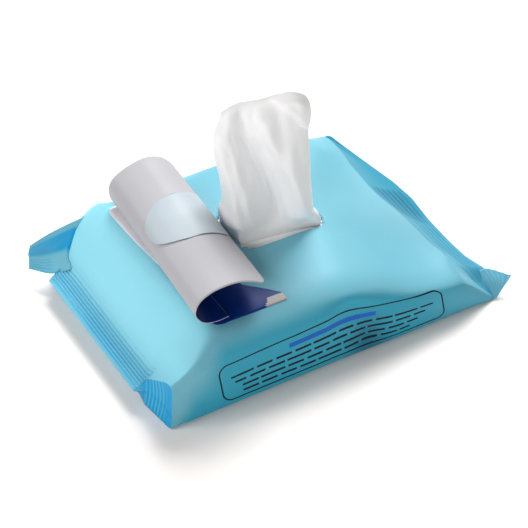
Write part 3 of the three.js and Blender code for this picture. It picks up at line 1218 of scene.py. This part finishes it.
def build_label_flap():
    """The upper ply, peeled back and curled into an open roll."""
    path = even_spline(CURL, CURL_STEPS)
    bm = bmesh.new()

    def place(u, v):
        y = lerp(FLAP_LOW.y, FLAP_HIGH.y, v)
        short = corner_inset(min(y - FLAP_LOW.y, FLAP_HIGH.y - y), LABEL_CORNER)
        reach = CURL_STEPS - short / CURL_STEP_LENGTH
        return curl_point(path, u * reach, y, 0.0)

    grid_sheet(bm, CURL_STEPS, 70, place)
    bmesh.ops.recalc_face_normals(bm, faces=bm.faces)
    return finish_mesh(
        bm, "label_upper_ply", [label_outside_material(), label_inside_material()])


CUTOUT_LENGTH = 40.0
CUTOUT_HALF_WIDTH = 15.0
CUTOUT_MIDDLE = 1.5
CUTOUT_LIFT = 0.45
CUTOUT_THICKNESS = 0.0002


def build_cutout():
    """The tongue of film on the flap's outer face, rounded at its far end."""
    path = even_spline(CURL, CURL_STEPS)
    length_steps = CUTOUT_LENGTH / CURL_STEP_LENGTH
    near = CURL_STEPS - 1.2
    bm = bmesh.new()

    def place(u, v):
        across = 2.0 * v - 1.0
        rounded = math.sqrt(max(0.0, 1.0 - abs(across) ** 2.5))
        back = near - length_steps * (0.42 + 0.58 * rounded)
        y = CUTOUT_MIDDLE + across * CUTOUT_HALF_WIDTH
        return curl_point(path, lerp(back, near, u), y, CUTOUT_LIFT)

    grid_sheet(bm, 60, 40, place)
    bmesh.ops.recalc_face_normals(bm, faces=bm.faces)
    return finish_mesh(bm, "cut_film_tongue", [cutout_material()])


class WIPES_OT_label(bpy.types.Operator):
    """Build the two plies of the reseal label and the cut film on the upper one"""

    bl_idname = "wipes.label"
    bl_label = "Label"

    def execute(self, context):
        base = build_label_base()
        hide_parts("label_base")
        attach(base, "root")
        flap = build_label_flap()
        thicken(flap, settings().label.thickness, inner_slot=1)
        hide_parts("label_flap")
        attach(flap, "root")
        cutout = build_cutout()
        thicken(cutout, CUTOUT_THICKNESS, offset=1.0)
        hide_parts("film_cutout")
        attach(cutout, "root")
        return {"FINISHED"}


# ---------- wipes ----------


def wipe_material():
    """Damp nonwoven fabric: off-white, matt, with a fine fibre mat."""
    colour = settings().wipe.colour
    made = mottled_material(
        "wipe", 120.0, 4.0, (colour, scaled(colour, 0.95)), roughness=0.85)
    shader = shader_of(made)
    shader.inputs["Sheen Weight"].default_value = 0.1
    shader.inputs["Sheen Roughness"].default_value = 0.5
    shader.inputs["Subsurface Weight"].default_value = 0.12
    shader.inputs["Subsurface Scale"].default_value = 0.0025
    shader.inputs["Subsurface Radius"].default_value = (1.0, 1.0, 1.0)
    add_bump(made, object_noise(made, 900.0, 3.0), strength=0.15, distance=0.0004)
    return made


# the raised wipe's own directions in the plan: across it and back from it, and its middle
VIEW_RIGHT = Vector((0.862, -0.507))
VIEW_AWAY = Vector((0.507, 0.862))
WIPE_MIDDLE = Vector((-2.0, 3.0))
FOLDED_THICKNESS = 0.0004
FRONT_POINTS = 9

# plan of the gathered wipe at rising heights: distance across and distance back from its middle,
# nine points along the front from left to right and then five along the back
WIPE_LEVELS = [
    (36.0, [
        (-21.5, 2), (-20.5, -8), (-16.5, -14.5), (-10.5, -17.8),
        (-3, -14.6), (4, -11.6), (11, -8.6),
        (18.6, -4.4), (25.6, -0.6), (17, 7), (9, 5), (1, 9), (-7, 6), (-15, 9)]),
    (41.0, [
        (-21.6, 1), (-20.5, -7.5), (-16.5, -13.8), (-10.8, -15.8),
        (-4, -13.4), (3, -10.8), (10, -8.6),
        (18, -5.4), (23.4, -1.0), (16, 6), (9, 4.5), (1, 9), (-7, 5.5), (-15, 8)]),
    (45.5, [
        (-20.2, 0), (-20.0, -8), (-16, -15.2), (-10, -16.6), (-4, -12.5), (1.4, -6.5), (8, -7.8),
        (17, -8.8), (20.6, -1), (15, 5.5), (9, 3.5), (1, 8.5), (-7, 5), (-14, 8)]),
    (52.0, [
        (-18.3, 0), (-18.0, -8), (-13.5, -14.2), (-7.5, -13.6), (-2.5, -9), (1.4, -4.2), (7, -6.0),
        (16, -9.4), (20, -1), (15, 5.5), (9, 2.5), (1, 8), (-7, 4), (-13, 7)]),
    (61.0, [
        (-19.4, 0), (-18.0, -7), (-13, -11.5), (-7.5, -10.6), (-3.2, -6.6), (-0.2, -2.6), (6, -4.2),
        (14.3, -9.4), (19.4, -1), (14, 5.5), (8, 2), (1, 8), (-7, 3.5), (-14, 7)]),
    (75.0, [
        (-22, 0), (-20, -5.6), (-16, -8.6), (-11.5, -7.6), (-8, -4.4), (-5.8, -1.6), (1, -3.6),
        (9.3, -8.6), (18.7, -1), (13, 5), (7, 2), (0, 7), (-8, 3), (-16, 6)]),
    (86.0, [
        (-21.8, 0), (-20, -4.4), (-17.2, -6.2), (-14.2, -5.0),
        (-12, -2.6), (-10.4, -0.8), (-4, -4.0),
        (4.2, -8.2), (18.0, -1), (12, 4.5), (6, 2), (-2, 6), (-9, 3), (-16, 5)]),
    (95.0, [
        (-19, 0.4), (-17.6, -2.6), (-15.6, -3.6), (-13.6, -2.6),
        (-12.4, -1.2), (-11.2, -0.2), (-6, -3.4),
        (1.2, -6.6), (18.8, -1), (12, 0.8), (5, -0.6), (-3, 1.6), (-9, 2.2), (-14, 2.4)]),
    (104.0, [
        (-17.2, 0.8), (-16, -0.6), (-14, -1.0), (-12.6, -0.4),
        (-11.4, 0.1), (-9.6, 0.4), (-4, -0.6),
        (3, -1.4), (19.0, -0.4), (12, -0.3), (5, -0.6), (-3, 0.2), (-9, 1.2), (-13, 0.6)]),
]

# height of the raised wipe's upper edge by the distance across
TOP_EDGE = [
    (-23, 91.0), (-19.6, 93.5), (-17.4, 96.6), (-14.4, 99.6), (-10.8, 101.6), (-1.5, 103.6),
    (4, 105.6), (10.2, 107.6), (14.0, 107.0), (16.8, 105.2), (18.4, 102.2), (19.3, 97.5)]

# the soft lower edge of the turned-over top corner: distance across and height
TURNOVER = [
    (-6.0, 106.0), (-1.1, 104.2), (6.9, 101.2), (12.3, 96.5), (17.0, 89.5), (24.0, 80.0)]
TURNOVER_DEPTH = 3.0
HIGHEST_LEVEL = WIPE_LEVELS[-1][0]
PLAN_POINTS = len(WIPE_LEVELS[0][1])
NECK_HEIGHT = 37.4
OPENING_CLEARANCE = 1.3
SKIRT_SHARE = 0.34
SKIRT_HALF = (52.5, 43.0)
PINCHED_BACK = -1.4


def gathered_plan(share, height):
    """Place across and back of the gathered wipe at a height."""
    low, low_plan = WIPE_LEVELS[0]
    high, high_plan = WIPE_LEVELS[1]
    for below, above in zip(WIPE_LEVELS, WIPE_LEVELS[1:]):
        low, low_plan = below
        high, high_plan = above
        if height <= high:
            break
    t = smooth(height, low, high) * 0.4 + clamp((height - low) / (high - low)) * 0.6
    return closed_spline(low_plan, share).lerp(closed_spline(high_plan, share), t)


def inside_opening(across, back, height):
    """The plan point of the wipe, kept inside the opening at the film's height, free above."""
    plan = WIPE_MIDDLE + VIEW_RIGHT * across + VIEW_AWAY * back
    over = opening_distance(plan.x, plan.y) + OPENING_CLEARANCE
    if over <= 0.0:
        return plan
    held = 1.0 - smooth(height, 40.5, 46.0)
    return plan - opening_slope(plan.x, plan.y) * over * held


def squared(part):
    """A sine or cosine drawn towards 1 or -1, so that a circle's outline turns squarer."""
    return math.copysign(abs(part) ** 0.5, part)


def skirt_point(share, out):
    """A point of the part that lies inside on the stack; out is 0 at the neck, 1 at its edge."""
    neck = gathered_plan(share, NECK_HEIGHT)
    plan = inside_opening(neck.x, neck.y, NECK_HEIGHT)
    away = plan - Vector(OPENING_MIDDLE)
    direction = math.atan2(away.y, away.x)
    reach = smooth(out, 0.05, 1.0)
    x = lerp(plan.x, SKIRT_HALF[0] * squared(math.cos(direction)), reach)
    y = lerp(plan.y, SKIRT_HALF[1] * squared(math.sin(direction)), reach)
    resting = min(STACK_HIGH.z + 1.6, film_top(x, y) - 2.4)
    under_edge = min(NECK_HEIGHT, film_top(x, y) - 1.4)
    start = lerp(NECK_HEIGHT, under_edge, smooth(out, 0.0, 0.06))
    return Vector((x, y, lerp(start, resting, smooth(out, 0.14, 0.4))))


def raised_point(u, v):
    """A point of the raised wipe: u round the gather, v from its hidden edge to its top edge."""
    if v < SKIRT_SHARE:
        return skirt_point(u, 1.0 - v / SKIRT_SHARE)
    t = (v - SKIRT_SHARE) / (1.0 - SKIRT_SHARE)
    top = along_table(TOP_EDGE, gathered_plan(u, HIGHEST_LEVEL).x)[0]
    height = lerp(NECK_HEIGHT, top, t)
    plan = gathered_plan(u, height)
    free = smooth(t, 0.05, 0.2)
    across = plan.x + 0.35 * free * soft_noise(plan.x * 2.0, height * 0.4, plan.y, 9.0)
    back = plan.y + 0.7 * free * soft_noise(across * 1.6, height * 0.45, 5.0, 7.0)
    along_fold = across + 0.27 * (height - 60.0)
    back += 1.7 * free * soft_noise(along_fold, height * 0.12, 9.0, 4.2)
    back += 0.25 * free * soft_noise(across * 2.0 + 30.0, height, 9.0, 4.0)
    pinch = 1.0 - smooth(top - height, 0.5, 11.0)
    back = lerp(back, PINCHED_BACK + 0.5 * soft_noise(across, 0.0, 0.0, 8.0), pinch)
    if u < FRONT_POINTS / PLAN_POINTS:
        edge = along_table(TURNOVER, across)[0]
        turned = smooth(height - edge, -0.8, 1.2) * smooth(top - height, 0.0, 4.0)
        turned *= plateau(across, -4.0, 6.0, 15.0, 19.0)
        back -= TURNOVER_DEPTH * turned
    spot = inside_opening(across, back, height)
    return Vector((spot.x, spot.y, height))


class WIPES_OT_raised_wipe(bpy.types.Operator):
    """Build the wipe that stands up through the opening"""

    bl_idname = "wipes.raised_wipe"
    bl_label = "Raised wipe"

    def execute(self, context):
        bm = bmesh.new()
        grid_sheet(bm, 210, 120, raised_point)
        bmesh.ops.remove_doubles(bm, verts=bm.verts, dist=0.00001)
        bmesh.ops.smooth_vert(
            bm, verts=bm.verts, factor=0.5, use_axis_x=True, use_axis_y=True, use_axis_z=True)
        bmesh.ops.recalc_face_normals(bm, faces=bm.faces)
        piece = finish_mesh(bm, "raised_wipe_cloth", [wipe_material()])
        thicken(piece, settings().wipe.thickness)
        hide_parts("raised_wipe")
        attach(piece, "root")
        return {"FINISHED"}


LAYER_SHARE = 0.48
FILM_CLEARANCE = 4.2


def folded_layer_point(u, v, level, pitch):
    """A point of one folded wipe: u along the pack, v from one free edge round to the other."""
    length = STACK_HIGH.x - STACK_LOW.x
    width = STACK_HIGH.y - STACK_LOW.y
    x = lerp(-length / 2.0, length / 2.0, u)
    half_gap = pitch * 0.25
    front = -width / 2.0 + half_gap
    back = width / 2.0
    middle_z = STACK_LOW.z + (level + 0.5) * pitch
    if v < LAYER_SHARE:
        y = lerp(back, front, v / LAYER_SHARE)
        z = middle_z - half_gap
    elif v > 1.0 - LAYER_SHARE:
        y = lerp(front, back, (v - 1.0 + LAYER_SHARE) / LAYER_SHARE)
        z = middle_z + half_gap
    else:
        turn = (v - LAYER_SHARE) / (1.0 - 2.0 * LAYER_SHARE) * math.pi
        y = front - half_gap * math.sin(turn)
        z = middle_z - half_gap * math.cos(turn)
    room = min(1.0, (film_top(x, y) - FILM_CLEARANCE) / STACK_HIGH.z)
    return Vector((x, y, STACK_LOW.z + (z - STACK_LOW.z) * max(0.12, room)))


class WIPES_OT_folded_wipes(bpy.types.Operator):
    """Build the stack of folded wipes inside the pack"""

    bl_idname = "wipes.folded_wipes"
    bl_label = "Folded wipes"

    def execute(self, context):
        finish = wipe_material()
        pitch = (STACK_HIGH.z - STACK_LOW.z) / len(STACK_NODES)
        for level, node in enumerate(STACK_NODES):
            bm = bmesh.new()
            grid_sheet(bm, 24, 50, lambda u, v: folded_layer_point(u, v, level, pitch))
            bmesh.ops.recalc_face_normals(bm, faces=bm.faces)
            piece = finish_mesh(bm, node.replace("wipe_", "wipe_cloth_"), [finish])
            thicken(piece, FOLDED_THICKNESS)
            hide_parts(node)
            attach(piece, "root")
        return {"FINISHED"}


# ---------- stage ----------

# name, place, height of the point it looks at, size and power of each light
LIGHTS = (
    ("key", (-0.7, 0.1, 0.6), 0.04, 0.35, 3.2),
    ("front", (-0.5, -0.8, 0.26), 0.06, 0.6, 2.9),
    ("top", (0.54, 0.6, 0.94), 0.0, 0.62, 20.0),
)
SKY_STRENGTH = 0.22
CAMERA_AIM = (0.00675, 0.0124, 0.0)
SENSOR_WIDTH = 36.0
FLOOR_HALF_SIZE = 4.0
FLOOR_DROP = 0.0002


def add_area_light(name, place, aim_height, size, power):
    """A soft light that looks at a point above the frame's origin."""
    lamp = bpy.data.lights.new(name, "AREA")
    lamp.energy = power
    lamp.size = size
    holder = bpy.data.objects.new(name, lamp)
    bpy.context.scene.collection.objects.link(holder)
    holder.location = place
    direction = Vector((0.0, 0.0, aim_height)) - Vector(place)
    holder.rotation_euler = direction.to_track_quat("-Z", "Y").to_euler()


class WIPES_OT_stage(bpy.types.Operator):
    """Build the plain floor, the soft lights and the camera"""

    bl_idname = "wipes.stage"
    bl_label = "Stage"

    def execute(self, context):
        chosen = settings().stage
        bm = bmesh.new()
        bmesh.ops.create_grid(bm, x_segments=1, y_segments=1, size=FLOOR_HALF_SIZE)
        finish = new_material("floor")
        shader = shader_of(finish)
        shader.inputs["Base Color"].default_value = (*chosen.floor_colour, 1.0)
        shader.inputs["Roughness"].default_value = 0.9
        floor = finish_mesh(bm, "floor", [finish], smooth_shading=False)
        floor.location = (0.0, 0.0, -FLOOR_DROP)
        world = bpy.data.worlds.new("soft_room")
        bpy.context.scene.world = world
        world.use_nodes = True
        sky = world.node_tree.nodes["Background"]
        sky.inputs["Color"].default_value = (1.0, 1.0, 1.0, 1.0)
        sky.inputs["Strength"].default_value = SKY_STRENGTH
        for light in LIGHTS:
            add_area_light(*light)
        camera = bpy.data.cameras.new("camera")
        camera.lens = chosen.lens
        camera.sensor_width = SENSOR_WIDTH
        holder = bpy.data.objects.new("camera", camera)
        bpy.context.scene.collection.objects.link(holder)
        level = math.cos(chosen.camera_height)
        back = Vector((
            math.sin(chosen.camera_turn) * level,
            -math.cos(chosen.camera_turn) * level,
            math.sin(chosen.camera_height),
        ))
        holder.location = Vector(CAMERA_AIM) + back * chosen.camera_distance
        holder.rotation_euler = (-back).to_track_quat("-Z", "Y").to_euler()
        bpy.context.scene.camera = holder
        bpy.context.scene.view_settings.view_transform = "Standard"
        return {"FINISHED"}


# ---------- panel and start ----------


class WIPES_PT_panel(bpy.types.Panel):
    bl_idname = "WIPES_PT_panel"
    bl_label = "Wipes Pack"
    bl_space_type = "VIEW_3D"
    bl_region_type = "UI"
    bl_category = "Wipes Pack"

    def draw(self, context):
        for operator in OPERATORS:
            self.layout.operator(operator.bl_idname)


OPERATORS = (
    WIPES_OT_stage,
    WIPES_OT_film,
    WIPES_OT_label,
    WIPES_OT_folded_wipes,
    WIPES_OT_raised_wipe,
)
CLASSES = (
    FilmSettings,
    LabelSettings,
    WipeSettings,
    StageSettings,
    PackSettings,
    *OPERATORS,
    WIPES_PT_panel,
)


def register():
    for each in CLASSES:
        bpy.utils.register_class(each)
    bpy.types.Scene.wipes_pack = PointerProperty(type=PackSettings)


def unregister():
    del bpy.types.Scene.wipes_pack
    for each in reversed(CLASSES):
        bpy.utils.unregister_class(each)


def main():
    register()
    bpy.ops.wipes.stage()
    bpy.ops.wipes.film()
    bpy.ops.wipes.label()
    bpy.ops.wipes.folded_wipes()
    bpy.ops.wipes.raised_wipe()


if __name__ == "__main__":
    main()
